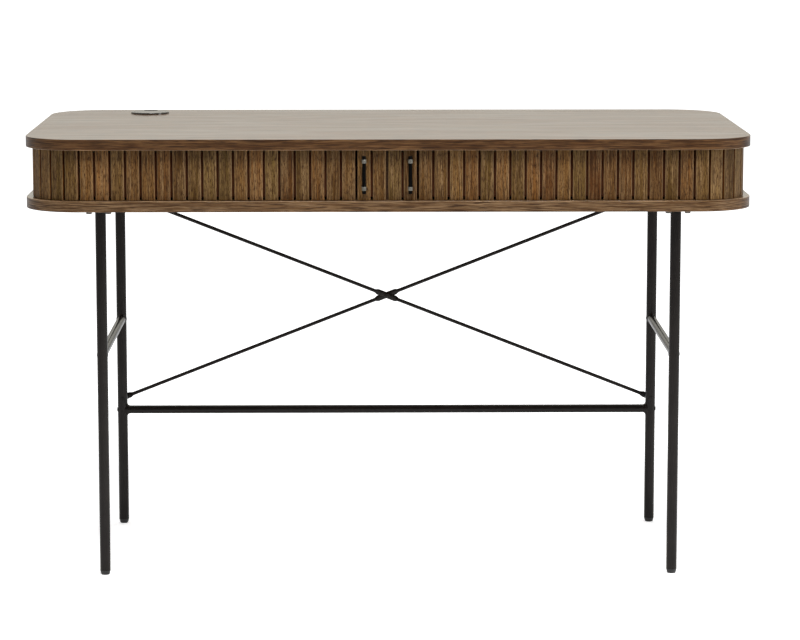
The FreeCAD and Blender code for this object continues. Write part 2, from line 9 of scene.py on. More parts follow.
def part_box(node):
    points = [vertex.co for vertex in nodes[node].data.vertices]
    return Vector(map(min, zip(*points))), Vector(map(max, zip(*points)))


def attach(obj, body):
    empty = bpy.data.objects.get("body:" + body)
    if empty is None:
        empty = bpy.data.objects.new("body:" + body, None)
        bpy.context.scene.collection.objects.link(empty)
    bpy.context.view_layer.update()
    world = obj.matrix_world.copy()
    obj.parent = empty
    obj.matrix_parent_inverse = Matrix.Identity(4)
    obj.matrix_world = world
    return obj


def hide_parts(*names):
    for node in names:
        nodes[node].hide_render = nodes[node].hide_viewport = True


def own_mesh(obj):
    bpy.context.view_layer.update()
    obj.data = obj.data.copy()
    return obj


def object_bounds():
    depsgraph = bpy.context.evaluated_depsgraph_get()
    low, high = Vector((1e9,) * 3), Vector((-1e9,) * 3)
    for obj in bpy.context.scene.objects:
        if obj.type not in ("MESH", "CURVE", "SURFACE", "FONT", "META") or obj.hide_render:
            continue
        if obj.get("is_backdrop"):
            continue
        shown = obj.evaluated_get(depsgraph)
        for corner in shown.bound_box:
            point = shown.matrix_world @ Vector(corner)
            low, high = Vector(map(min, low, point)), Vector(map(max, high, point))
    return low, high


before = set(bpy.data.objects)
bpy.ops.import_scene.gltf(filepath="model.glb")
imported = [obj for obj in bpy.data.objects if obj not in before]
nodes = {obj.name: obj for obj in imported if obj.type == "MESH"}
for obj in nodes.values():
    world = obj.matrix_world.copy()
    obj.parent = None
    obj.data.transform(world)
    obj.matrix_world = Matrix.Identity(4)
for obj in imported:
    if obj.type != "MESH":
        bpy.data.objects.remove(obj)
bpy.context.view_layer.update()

# ---- Studio -------------------------------------------------------------------------------
# A seamless pale floor under soft white light, with the desk at its middle. What lies beyond
# the floor is white to the eye, and gives the finishes a dimmer room to reflect.
scene = bpy.context.scene
scene.view_settings.view_transform = "Standard"


def colour(code):
    """Turns an sRGB hex colour into the linear one that a shader takes."""
    shares = [int(code[place : place + 2], 16) / 255 for place in (1, 3, 5)]
    linear = [share / 12.92 if share <= 0.04045 else ((share + 0.055) / 1.055) ** 2.4 for share in shares]
    return linear + [1.0]


def add(owner, kind, inputs=None, **settings):
    """Adds a shader node. Each input is given a value, or the socket that feeds it."""
    node = owner.node_tree.nodes.new("ShaderNode" + kind)
    for name, value in settings.items():
        setattr(node, name, value)
    for name, value in (inputs or {}).items():
        if isinstance(value, bpy.types.NodeSocket):
            owner.node_tree.links.new(value, node.inputs[name])
        else:
            node.inputs[name].default_value = value
    return node


def start_material(name):
    """Adds a material with no nodes in it yet."""
    material = bpy.data.materials.new(name)
    material.use_nodes = True
    material.node_tree.nodes.clear()
    return material


camera = bpy.data.objects.new("camera", bpy.data.cameras.new("camera"))
scene.collection.objects.link(camera)
camera.location = (-0.0429, -5.1481, 1.189)
camera.rotation_euler = (math.radians(90 - 8.059), 0, math.radians(-0.718))
camera.data.lens = 134.58
camera.data.shift_y = -0.0404
scene.camera = camera

world = bpy.data.worlds.new("studio")
scene.world = world
world.use_nodes = True
world.node_tree.nodes.clear()
ray = add(world, "LightPath")
heading = add(world, "TexCoord")
heading = add(world, "SeparateXYZ", {0: heading.outputs["Generated"]})
# The room is dark to the front, behind the camera, and pale everywhere else.
dark = add(
    world, "MapRange",
    {"Value": heading.outputs["Y"], "From Min": -0.35, "From Max": -0.85},
    interpolation_type="SMOOTHSTEP",
)
even = add(world, "Mix", {"Factor": dark.outputs[0], "A": 0.50, "B": 0.12})
high = add(
    world, "MapRange",
    {"Value": heading.outputs["Z"], "From Min": 0.062, "From Max": 0.12, "To Min": 0.42},
    interpolation_type="SMOOTHSTEP",
)
gloss = add(world, "Mix", {"Factor": dark.outputs[0], "A": high.outputs[0], "B": 0.08})
strength = add(
    world, "Mix",
    {"Factor": ray.outputs["Is Glossy Ray"], "A": even.outputs[0], "B": gloss.outputs[0]},
)
seen = add(
    world, "Math",
    {0: ray.outputs["Is Camera Ray"], 1: ray.outputs["Is Transmission Ray"]},
    operation="MAXIMUM",
)
strength = add(world, "Mix", {"Factor": seen.outputs[0], "A": strength.outputs[0], "B": 1.0})
walls = add(
    world, "Mix",
    {"Factor": ray.outputs["Is Glossy Ray"], "A": colour("#ffffff"), "B": colour("#fffcf0")},
    data_type="RGBA",
)
sky = add(world, "Background", {"Color": walls.outputs[2], "Strength": strength.outputs[0]})
add(world, "OutputWorld", {"Surface": sky.outputs[0]})

for name, place, aim, width, height, power in (
    ("front_overhead_softbox", (0.25, -1.4, 3.0), (0, -0.4, 0.5), 1.4, 0.9, 86),
    ("right_side_softbox", (3.0, -1.3, 1.6), (0.3, -0.2, 0.6), 1.0, 1.2, 30),
    ("rear_overhead_softbox", (-0.2, 1.3, 3.2), (0, 0, 0.5), 2.6, 1.2, 22),
):
    lamp = bpy.data.objects.new(name, bpy.data.lights.new(name, "AREA"))
    lamp.data.shape = "RECTANGLE"
    lamp.data.size = width
    lamp.data.size_y = height
    lamp.data.energy = power
    lamp.location = place
    lamp.rotation_euler = (Vector(aim) - Vector(place)).to_track_quat("-Z", "Y").to_euler()
    scene.collection.objects.link(lamp)

bpy.ops.mesh.primitive_plane_add(size=60, location=(0, 0, 0))
floor = bpy.context.object
floor.name = "studio_floor"
paper = start_material("white_backdrop_paper")
# The eye sees the sheet as white but for the shadow. The finishes see it so behind the desk,
# over the width of the roll.
ray = add(paper, "LightPath")
place = add(paper, "TexCoord")
place = add(paper, "SeparateXYZ", {0: place.outputs["Object"]})
behind = add(
    paper, "MapRange",
    {"Value": place.outputs["Y"], "From Min": -1.2, "From Max": 0.6, "To Max": 0.4},
    interpolation_type="SMOOTHSTEP",
)
aside = add(paper, "Math", {0: place.outputs["X"]}, operation="ABSOLUTE")
roll = add(
    paper, "MapRange",
    {"Value": aside.outputs[0], "From Min": 1.0, "From Max": 1.8, "To Min": 1.0, "To Max": 0.1},
)
behind = add(paper, "Math", {0: behind.outputs[0], 1: roll.outputs[0]}, operation="MULTIPLY")
glossy = add(paper, "Math", {0: ray.outputs["Is Glossy Ray"], 1: behind.outputs[0]}, operation="MULTIPLY")
far = add(
    paper, "MapRange",
    {"Value": place.outputs["Y"], "From Min": 0.5, "From Max": 4.0, "To Min": 0.57, "To Max": 0.9},
)
seen = add(paper, "Math", {0: ray.outputs["Is Camera Ray"], 1: far.outputs[0]}, operation="MULTIPLY")
glow = add(paper, "Math", {0: seen.outputs[0], 1: glossy.outputs[0]}, operation="MAXIMUM")
sheet = add(paper, "BsdfDiffuse", {"Color": colour("#f8f8f8")})
glow = add(paper, "Emission", {"Color": colour("#ffffff"), "Strength": glow.outputs[0]})
both = add(paper, "AddShader", {0: sheet.outputs[0], 1: glow.outputs[0]})
add(paper, "OutputMaterial", {"Surface": both.outputs[0]})
floor.data.materials.append(paper)
floor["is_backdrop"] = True

# ---- Top and bottom panel -----------------------------------------------------------------
# Two 18 mm boards faced with walnut veneer and edged all round with a band of it. The corners
# are cut round before edging, the arrises are sanded to a small round, and a router cuts the
# curtain's track near the edge of each inner face.
half_width, half_depth, corner_radius = 0.600, 0.300, 0.093
bottom_low, bottom_high, top_low, top_high = 0.627, 0.645, 0.728, 0.746
# How much the arrises next to the slats are painted paler: part wear, part painted highlight.
arris_round, top_wear_and_highlight, bottom_wear_and_highlight = 0.0008, 0.7, 0.45
track_outer, track_inner, track_depth = 0.01234, 0.01785, 0.0055
grommet_x, grommet_y, grommet_hole_radius = -0.4248, 0.224, 0.030


def deselect_all():
    """Leaves edit mode and deselects every object."""
    if bpy.context.object and bpy.context.object.mode == "EDIT":
        bpy.ops.object.mode_set(mode="OBJECT")
    bpy.ops.object.select_all(action="DESELECT")


def select(kind, test):
    """In edit mode, selects the parts of one kind that pass a test, and nothing else."""
    bpy.ops.mesh.select_mode(type=kind)
    bpy.ops.mesh.select_all(action="DESELECT")
    mesh = bmesh.from_edit_mesh(bpy.context.object.data)
    for part in {"VERT": mesh.verts, "EDGE": mesh.edges, "FACE": mesh.faces}[kind]:
        if test(part):
            part.select_set(True)
    mesh.select_flush_mode()
    bmesh.update_edit_mesh(bpy.context.object.data)


def rise(edge):
    """How far an edge climbs from one end to the other."""
    return abs((edge.verts[0].co - edge.verts[1].co).z)


def grow(step):
    """Extrudes what is selected by a step."""
    bpy.ops.mesh.extrude_region_move(TRANSFORM_OT_translate={"value": step})


def start_edit(name):
    """Names the new primitive, fixes its place in its mesh and goes into edit mode."""
    bpy.context.object.name = name
    bpy.ops.object.transform_apply(location=True, rotation=True, scale=True)
    bpy.context.object.data.uv_layers[0].name = "grain"
    bpy.ops.object.mode_set(mode="EDIT")
    return bpy.context.object


def start_box(name, low, high):
    """Adds a box between two corners and leaves it in edit mode."""
    deselect_all()
    low, high = Vector(low), Vector(high)
    bpy.ops.mesh.primitive_cube_add(size=1, location=(low + high) / 2, scale=high - low)
    return start_edit(name)


def apply_modifier(piece, modifier):
    """Applies one modifier to a piece."""
    bpy.context.view_layer.objects.active = piece
    bpy.ops.object.modifier_apply(modifier=modifier.name)


def cut_away(piece, cutter):
    """Cuts the shape of one object out of a piece, and removes the cutter."""
    cut = piece.modifiers.new("cut", "BOOLEAN")
    cut.object = cutter
    apply_modifier(piece, cut)
    bpy.data.objects.remove(cutter)


def finish_piece(piece, material, body, replaced=(), angle=35):
    """Shades a piece smooth up to an angle, keeps its flat faces flat, gives it its material and body, and
    hides the nodes it replaces.
    """
    deselect_all()
    piece.select_set(True)
    bpy.context.view_layer.objects.active = piece
    bpy.ops.object.shade_smooth_by_angle(angle=math.radians(angle))
    evened = piece.modifiers.new("flat_faces_stay_flat", "WEIGHTED_NORMAL")
    evened.keep_sharp = True
    apply_modifier(piece, evened)
    piece.data.materials.clear()
    piece.data.materials.append(material)
    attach(piece, body)
    if replaced:
        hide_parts(*replaced)


def edge_inset(point):
    """How far a point lies in from the panels' outline."""
    x = abs(point.x) - (half_width - corner_radius)
    y = abs(point.y) - (half_depth - corner_radius)
    if x > 0 and y > 0:
        return corner_radius - math.hypot(x, y)
    return corner_radius - max(x, y)


def edge_distance(point):
    """The way clockwise along the panels' outline, from its rear right corner to a point."""
    long, short = half_width - corner_radius, half_depth - corner_radius
    arc = corner_radius * math.pi / 2
    x = max(-long, min(long, point.x))
    y = max(-short, min(short, point.y))
    turn = math.atan2(point.x - x, point.y - y)
    turn += 2 * math.pi if turn < -1e-5 else 0
    corner = int(turn / (math.pi / 2) + 1e-5)
    to_corner = (0, arc + 2 * short, 2 * arc + 2 * short + 2 * long, 3 * arc + 4 * short + 2 * long)[corner]
    still_to_go = (long - x, short + y, long + x, short - y)[corner]
    return to_corner - still_to_go + (turn - corner * math.pi / 2) * corner_radius


walnut_veneer = start_material("lacquered_walnut_veneer")
# Crown-cut veneer under a satin lacquer: brown bands that run along the board, fine dark pores
# in them, and a reflection that pales the board at a low angle. The arrises next to the slats
# are painted paler, partly as sanding wear and partly as a painted highlight of the light they
# catch, and no two boards have quite the same tone.
grain = add(walnut_veneer, "UVMap", uv_map="grain")
# The tone drifts over 330 by 70 mm, and the bands are 80 by 2 mm. The pores are drawn as lines
# of 40 by 1 mm, coarser than real ones, which are too fine to show.
place = add(
    walnut_veneer, "Mapping", {"Vector": grain.outputs[0], "Location": (0.35, 0.4, 0), "Scale": (3, 14, 1)}
)
broad = add(
    walnut_veneer, "TexNoise",
    {"Vector": place.outputs[0], "Scale": 1, "Detail": 3, "Roughness": 0.5, "Distortion": 1.2},
)
place = add(walnut_veneer, "Mapping", {"Vector": grain.outputs[0], "Scale": (13, 520, 1)})
bands = add(
    walnut_veneer, "TexNoise",
    {"Vector": place.outputs[0], "Scale": 1, "Detail": 3, "Roughness": 0.6, "Distortion": 0.7},
)
place = add(walnut_veneer, "Mapping", {"Vector": grain.outputs[0], "Scale": (24, 900, 1)})
pores = add(
    walnut_veneer, "TexNoise", {"Vector": place.outputs[0], "Scale": 1, "Detail": 2, "Roughness": 0.6}
)
tone = add(walnut_veneer, "MapRange", {"Value": broad.outputs[0], "From Min": 0.3, "From Max": 0.7})
wood = add(
    walnut_veneer, "Mix",
    {"Factor": tone.outputs[0], "A": colour("#472e16"), "B": colour("#614529")},
    data_type="RGBA",
)
for pattern, start, full, most, code in (
    (bands, 0.44, 0.62, 1.0, "#866a4c"),
    (pores, 0.5, 0.58, 0.85, "#271404"),
):
    tone = add(
        walnut_veneer, "MapRange",
        {"Value": pattern.outputs[0], "From Min": start, "From Max": full, "To Max": most},
    )
    wood = add(
        walnut_veneer, "Mix",
        {"Factor": tone.outputs[0], "A": wood.outputs[2], "B": colour(code)},
        data_type="RGBA",
    )
# The board tag holds 1 on the top panel, which is stained darker, and how far an arris is
# painted paler, partly as wear and partly as a painted highlight.
board = add(walnut_veneer, "Attribute", attribute_name="board")
board = add(walnut_veneer, "SeparateXYZ", {0: board.outputs["Vector"]})
stain = add(
    walnut_veneer, "Mix",
    {"Factor": board.outputs[0], "A": colour("#ffffff"), "B": colour("#cebca6")},
    data_type="RGBA",
)
wood = add(
    walnut_veneer, "Mix",
    {"Factor": 1.0, "A": wood.outputs[2], "B": stain.outputs[2]},
    data_type="RGBA", blend_type="MULTIPLY",
)
# Paler arrises: part sanding wear, part a painted highlight that stands in for the light on the edge.
sanding_and_highlight = add(walnut_veneer, "Math", {0: board.outputs[1], 1: bands.outputs[0]}, operation="MULTIPLY")
wood = add(
    walnut_veneer, "Mix",
    {"Factor": sanding_and_highlight.outputs[0], "A": wood.outputs[2], "B": colour("#bd9c78")},
    data_type="RGBA",
)
sheen = add(
    walnut_veneer, "MapRange",
    {"Value": broad.outputs[0], "From Min": 0.3, "From Max": 0.7, "To Min": 0.28, "To Max": 0.4},
)
relief = add(
    walnut_veneer, "Bump", {"Height": pores.outputs[0], "Strength": 0.12, "Distance": 0.0002}, invert=True
)
surface = add(
    walnut_veneer, "BsdfPrincipled",
    {
        "Base Color": wood.outputs[2], "Roughness": sheen.outputs[0], "IOR": 1.25,
        "Normal": relief.outputs[0], "Coat Weight": 0.7, "Coat Roughness": 0.15, "Coat IOR": 1.25,
    },
)
add(walnut_veneer, "OutputMaterial", {"Surface": surface.outputs[0]})

# The band is cut 3 m further across the veneer than the faces.
outline = 4 * (half_width + half_depth) - (8 - 2 * math.pi) * corner_radius
band_shift = 3
for name, low, high, inner, stained, wear_and_highlight in (
    ("bottom_panel", bottom_low, bottom_high, 1, 0.0, bottom_wear_and_highlight),
    ("top_panel", top_low, top_high, -1, 1.0, top_wear_and_highlight),
):
    panel = start_box(name + "_board", (-half_width, -half_depth, low), (half_width, half_depth, high))
    select("EDGE", lambda edge: rise(edge) > 0.01)
    bpy.ops.mesh.bevel(offset=corner_radius, segments=28, affect="EDGES")
    select("FACE", lambda face: face.normal.z * inner > 0.9)
    bpy.ops.mesh.inset(thickness=track_outer)
    bpy.ops.mesh.inset(thickness=track_inner - track_outer)
    select(
        "FACE",
        lambda face: face.normal.z * inner > 0.9
        and track_outer < edge_inset(face.calc_center_median()) < track_inner,
    )
    grow((0, 0, -inner * track_depth))
    select(
        "EDGE",
        lambda edge: rise(edge) < 1e-5 and all(edge_inset(corner.co) < 1e-5 for corner in edge.verts),
    )
    bpy.ops.mesh.bevel(offset=arris_round, segments=3, affect="EDGES")
    bpy.ops.object.mode_set(mode="OBJECT")
    # The faces' grain runs along the desk, and the band's round its edge. Each board's height
    # shifts it, so that no two match.
    layer = panel.data.uv_layers["grain"]
    for face in panel.data.polygons:
        corners = [panel.data.vertices[number].co for number in face.vertices]
        if abs(face.normal.z) > 0.8:
            places = [(corner.x, corner.y + low) for corner in corners]
        else:
            ways = [edge_distance(corner) for corner in corners]
            ways = [way + outline if max(ways) - way > outline / 2 else way for way in ways]
            places = [(way, corner.z + band_shift + low) for way, corner in zip(ways, corners)]
        for loop, where in zip(face.loop_indices, places):
            layer.data[loop].uv = where
    tag = panel.data.attributes.new("board", "FLOAT_VECTOR", "FACE")
    for face in panel.data.polygons:
        # The arrises next to the slats are tagged to be painted paler: part wear, part painted highlight.
        is_worn_and_lit = 0.1 < face.normal.z * inner < 0.97 and edge_inset(face.center) < 0.002
        tag.data[face.index].vector = (stained, wear_and_highlight if is_worn_and_lit else 0.0, 0)
    if name == "top_panel":
        middle = (grommet_x, grommet_y, (low + high) / 2)
        bpy.ops.mesh.primitive_cylinder_add(
            vertices=64, radius=grommet_hole_radius, depth=0.05, location=middle
        )
        cut_away(panel, bpy.context.object)
    finish_piece(panel, walnut_veneer, "desk", [name])

# ---- Tambour slats ------------------------------------------------------------------------
# Solid walnut slats with sanded arrises, each from another piece of board, so that no two
# match. Their sides taper to the back, and a tongue at each end runs in the panels' track.
# They are glued to canvas, apart by a narrow dark gap.
slat_width, slat_gap, slat_thickness, slat_taper = 0.0227, 0.00245, 0.008, 0.001
slat_low, slat_high, slat_round = 0.6458, 0.7272, 0.003
tongue_shoulder, tongue_share, tongue_length = 0.00175, 0.86, 0.0058
slat_pitch = slat_width + slat_gap
seam_x, face_recess = -0.003, 0.0113
lead_end, front_end, side_end = 2, 20, 47

slat = start_box("slat", (-slat_width / 2, 0, slat_low), (slat_width / 2, slat_thickness, slat_high))
select("FACE", lambda face: face.normal.y > 0.9)
bpy.ops.transform.resize(
    value=(1 - 2 * slat_taper / slat_width, 1, 1), center_override=(0, slat_thickness, 0)
)
select("EDGE", lambda edge: rise(edge) > 0.01 and all(corner.co.y < 1e-5 for corner in edge.verts))
bpy.ops.mesh.bevel(offset=slat_round, segments=6, affect="EDGES")
for way, end in ((-1, slat_low), (1, slat_high)):
    select("FACE", lambda face: face.normal.z * way > 0.9)
    bpy.ops.mesh.inset(thickness=tongue_shoulder)
    bpy.ops.transform.resize(value=(tongue_share, 1, 1), center_override=(0, slat_thickness / 2, end))
    grow((0, 0, way * tongue_length))
bpy.ops.object.mode_set(mode="OBJECT")


def lay_grain(piece, where):
    """Gives each corner of a piece its place on the board, by its face's normal and its own place."""
    for face in piece.data.polygons:
        for loop, number in zip(face.loop_indices, face.vertices):
            place = where(face.normal, piece.data.vertices[number].co)
            piece.data.uv_layers["grain"].data[loop].uv = place


# The grain runs up the slat. Its flanks lie 20 mm further across it.
flank_shift = 0.02
lay_grain(slat, lambda normal, at: (at.z, at.y + flank_shift if abs(normal.x) > 0.8 else at.x))


def track_place(side, distance):
    """Where the curtain's face is, and how far it has turned, at a distance from the seam."""
    corner_x, corner_y = half_width - corner_radius, half_depth - corner_radius
    radius = corner_radius - face_recess
    for length, kind in (
        (corner_x - side * seam_x, "front"),
        (radius * math.pi / 2, "front corner"),
        (2 * corner_y, "side"),
        (radius * math.pi / 2, "rear corner"),
    ):
        if distance <= length:
            break
        distance -= length
    turn = distance / radius
    if kind == "front":
        return seam_x + side * distance, face_recess - half_depth, 0
    if kind == "front corner":
        return side * (corner_x + radius * math.sin(turn)), -corner_y - radius * math.cos(turn), side * turn
    if kind == "side":
        return side * (half_width - face_recess), -corner_y + distance, side * math.pi / 2
    turned = side * (math.pi / 2 + turn)
    return side * (corner_x + radius * math.cos(turn)), corner_y + radius * math.sin(turn), turned


def place_copy(source, name, matrix):
    """A copy with its own mesh, moved to its place in that mesh."""
    made = source.copy()
    made.data = source.data.copy()
    made.name = name
    made.data.transform(matrix)
    scene.collection.objects.link(made)
    return made


def join(parts, name):
    """Joins some objects into one."""
    deselect_all()
    for part in parts:
        part.select_set(True)
    bpy.context.view_layer.objects.active = parts[0]
    bpy.ops.object.join()
    bpy.context.object.name = name
    return bpy.context.object


walnut_slats = start_material("lacquered_walnut_slats")
# Straight-grained solid walnut, lacquered satin. Each slat has its own tone, from olive to dark
# reddish brown, with upright pores and paler streaks between them. Arrises are painted lighter,
# partly as sanding wear and partly as a painted highlight, and the flanks in the gaps are
# painted darker as painted shade.
grain = add(walnut_slats, "UVMap", uv_map="grain")
# The board tag holds how light and how red a slat is, and its edge paint from -1, painted
# shade on the flanks in the gaps, to 1, a paler arris that is part wear and part painted highlight.
tag = add(walnut_slats, "Attribute", attribute_name="board")
board = add(walnut_slats, "SeparateXYZ", {0: tag.outputs["Vector"]})
shift = add(walnut_slats, "VectorMath", {0: tag.outputs["Vector"], 1: (7.0, 3.0, 0.0)}, operation="MULTIPLY")
own = add(walnut_slats, "VectorMath", {0: grain.outputs[0], 1: shift.outputs[0]}, operation="ADD")
# Streaks are about 140 by 5 mm. Pores are drawn as hairlines of 45 by 0.9 mm and as flecks of
# 9 by 1.2 mm, because single ones are too fine to show.
place = add(walnut_slats, "Mapping", {"Vector": own.outputs[0], "Scale": (7, 190, 1)})
streaks = add(
    walnut_slats, "TexNoise",
    {"Vector": place.outputs[0], "Scale": 1, "Detail": 3, "Roughness": 0.6, "Distortion": 0.6},
)
place = add(walnut_slats, "Mapping", {"Vector": own.outputs[0], "Scale": (22, 1100, 1)})
hairs = add(walnut_slats, "TexNoise", {"Vector": place.outputs[0], "Scale": 1, "Detail": 2, "Roughness": 0.7})
place = add(walnut_slats, "Mapping", {"Vector": own.outputs[0], "Scale": (110, 850, 1)})
flecks = add(
    walnut_slats, "TexNoise", {"Vector": place.outputs[0], "Scale": 1, "Detail": 2, "Roughness": 0.7}
)
light = add(
    walnut_slats, "Mix",
    {"Factor": board.outputs[1], "A": colour("#84683a"), "B": colour("#855829")},
    data_type="RGBA",
)
dark = add(
    walnut_slats, "Mix",
    {"Factor": board.outputs[1], "A": colour("#523e14"), "B": colour("#532d0a")},
    data_type="RGBA",
)
wood = add(
    walnut_slats, "Mix",
    {"Factor": board.outputs[0], "A": dark.outputs[2], "B": light.outputs[2]},
    data_type="RGBA",
)
for pattern, start, full, most, code in (
    (streaks, 0.42, 0.66, 0.8, "#91734e"),
    (hairs, 0.46, 0.6, 0.95, "#2f1803"),
    (flecks, 0.49, 0.61, 0.85, "#2c1702"),
):
    tone = add(
        walnut_slats, "MapRange",
        {"Value": pattern.outputs[0], "From Min": start, "From Max": full, "To Max": most},
    )
    wood = add(
        walnut_slats, "Mix",
        {"Factor": tone.outputs[0], "A": wood.outputs[2], "B": colour(code)},
        data_type="RGBA",
    )
# Paler arrises: part rubbing wear, part a painted highlight.
rub_and_highlight = add(walnut_slats, "MapRange", {"Value": board.outputs[2], "To Max": 0.5})
wood = add(
    walnut_slats, "Mix",
    {"Factor": rub_and_highlight.outputs[0], "A": wood.outputs[2], "B": colour("#b2966f")},
    data_type="RGBA",
)
# Painted shade: the flanks, which sit in the gaps, are painted dark brown.
gap_shade = add(walnut_slats, "MapRange", {"Value": board.outputs[2], "From Max": -1.0})
wood = add(
    walnut_slats, "Mix",
    {"Factor": gap_shade.outputs[0], "A": wood.outputs[2], "B": colour("#532706")},
    data_type="RGBA",
)
sheen = add(walnut_slats, "MapRange", {"Value": hairs.outputs[0], "To Min": 0.42, "To Max": 0.58})
relief = add(
    walnut_slats, "Bump", {"Height": hairs.outputs[0], "Strength": 0.2, "Distance": 0.0003}, invert=True
)
surface = add(
    walnut_slats, "BsdfPrincipled",
    {"Base Color": wood.outputs[2], "Roughness": sheen.outputs[0], "IOR": 1.25, "Normal": relief.outputs[0]},
)
add(walnut_slats, "OutputMaterial", {"Surface": surface.outputs[0]})

# Arrises are painted paler, part wear and part painted highlight. Flanks are painted darker as painted shade
# in the gaps.
arris_rub_and_highlight, flank_gap_shade = 0.35, -0.8
random.seed(11)
for side, way in (("left", -1), ("right", 1)):
    for run, first, last in (
        ("lead", 0, lead_end), ("front", lead_end, front_end), ("side", front_end, side_end)
    ):
        slats = []
        for number in range(first, last):
            x, y, turn = track_place(way, (number + 0.5) * slat_pitch)
            where = Matrix.Translation((x, y, 0)) @ Matrix.Rotation(turn, 4, "Z")
            made = place_copy(slat, "slat_copy", where)
            tag = made.data.attributes.new("board", "FLOAT_VECTOR", "FACE")
            mood = (random.random(), random.random())
            for face, source in zip(tag.data, slat.data.polygons):
                sideways = abs(source.normal.x)
                # Flanks get painted shade. Arrises get a paler tone that is part wear and part painted
                # highlight.
                tone_change = flank_gap_shade if sideways > 0.9 else arris_rub_and_highlight if 0.2 < sideways < 0.8 else 0.0
                face.vector = (*mood, tone_change)
            slats.append(made)
        curtain = join(slats, "%s_%s_curtain" % (side, run))
        body = side + "_door" if run == "lead" else "desk"
        finish_piece(curtain, walnut_slats, body, ["%s_%s_slats" % (side, run)])
        if run == "front":
            # The slats beside the door close up toward the corner as the door opens. Here the front curtain
            # only gets a mesh of its own.
            end = seam_x + way * front_end * slat_pitch
            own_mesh(curtain)
bpy.data.objects.remove(slat)

# ---- Canvas of the curtains ---------------------------------------------------------------
# Heavy dark brown cotton canvas, glued across the backs of the slats, which it hinges. It
# shows only as the dark at the bottom of the gaps, and from inside the box.
cloth_front, cloth_back, cloth_low, cloth_high, cloth_round = -0.2807, -0.2798, 0.650, 0.723, 0.0003
canvas = start_material("dark_brown_cotton_canvas")
# Plain weave with a thread every 0.9 mm, dull all over.
place = add(canvas, "TexCoord")
threads = {"Vector": place.outputs["Object"], "Scale": 350, "Distortion": 0.4}
warp = add(canvas, "TexWave", threads, bands_direction="X")
weft = add(canvas, "TexWave", threads, bands_direction="Z")
weave = add(canvas, "Math", {0: warp.outputs["Fac"], 1: weft.outputs["Fac"]}, operation="MULTIPLY")
thread = add(
    canvas, "Mix",
    {"Factor": weave.outputs[0], "A": colour("#451f04"), "B": colour("#673207")},
    data_type="RGBA",
)
relief = add(canvas, "Bump", {"Height": weave.outputs[0], "Strength": 0.4, "Distance": 0.0003})
surface = add(
    canvas, "BsdfPrincipled",
    {"Base Color": thread.outputs[2], "Roughness": 0.95, "Normal": relief.outputs[0]},
)
add(canvas, "OutputMaterial", {"Surface": surface.outputs[0]})


def dress(names, material):
    """Gives a material to CAD nodes that are shown as they are."""
    for name in names:
        nodes[name].data.materials.clear()
        nodes[name].data.materials.append(material)


for side, way in (("left", -1), ("right", 1)):
    dress([side + "_lead_canvas", side + "_side_canvas"], canvas)
    end = seam_x + way * front_end * slat_pitch
    start = seam_x + way * lead_end * slat_pitch
    near, far = sorted((start + way * slat_gap / 2, end - way * slat_gap / 2))
    cloth = start_box(side + "_front_cloth", (near, cloth_front, cloth_low), (far, cloth_back, cloth_high))
    select("EDGE", lambda edge: abs((edge.verts[0].co - edge.verts[1].co).y) < 1e-5)
    bpy.ops.mesh.bevel(offset=cloth_round, segments=2, affect="EDGES")
    finish_piece(cloth, canvas, "desk", [side + "_front_canvas"])
    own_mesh(cloth)

# ---- Bar pulls ----------------------------------------------------------------------------
# On the second slat of each door stands a round steel bar, lacquered black, held by two
# turned collars in satin nickel. Each collar's foot is screwed from behind the canvas.
pull_z, bar_radius, bar_length, bar_out, bar_round = 0.6883, 0.00325, 0.0620, 0.01675, 0.0013
collar_radius, collar_height, collar_reach, collar_round = 0.0041, 0.0062, 0.0223, 0.0005
foot_radius, foot_spread, foot_rim = 0.003, 1.35, 0.0008


def start_rod(name, start, end, radius, vertices=40):
    """Adds a round bar from one point to another and leaves it in edit mode."""
    deselect_all()
    start, end = Vector(start), Vector(end)
    bpy.ops.mesh.primitive_cylinder_add(
        vertices=vertices, radius=radius, depth=(end - start).length,
        location=(start + end) / 2, rotation=(end - start).to_track_quat("Z", "Y").to_euler(),
    )
    return start_edit(name)


def round_rims(size, segments=3):
    """Rounds the rims of every flat many-sided end of the piece in edit mode."""
    select("FACE", lambda face: len(face.verts) > 10)
    bpy.ops.mesh.region_to_loop()
    bpy.ops.mesh.bevel(offset=size, segments=segments, affect="EDGES")


black_lacquer = start_material("black_lacquered_steel")
# Smooth satin black lacquer on turned steel: nearly black, with one soft upright highlight.
place = add(black_lacquer, "TexCoord")
grains = add(black_lacquer, "TexNoise", {"Vector": place.outputs["Object"], "Scale": 900, "Detail": 2})
shade = add(
    black_lacquer, "Mix",
    {"Factor": grains.outputs[0], "A": colour("#020202"), "B": colour("#070606")},
    data_type="RGBA",
)
sheen = add(black_lacquer, "MapRange", {"Value": grains.outputs[0], "To Min": 0.55, "To Max": 0.65})
surface = add(
    black_lacquer, "BsdfPrincipled",
    {"Base Color": shade.outputs[2], "Roughness": sheen.outputs[0], "IOR": 1.12},
)
add(black_lacquer, "OutputMaterial", {"Surface": surface.outputs[0]})

satin_nickel = start_material("satin_nickel_plate")
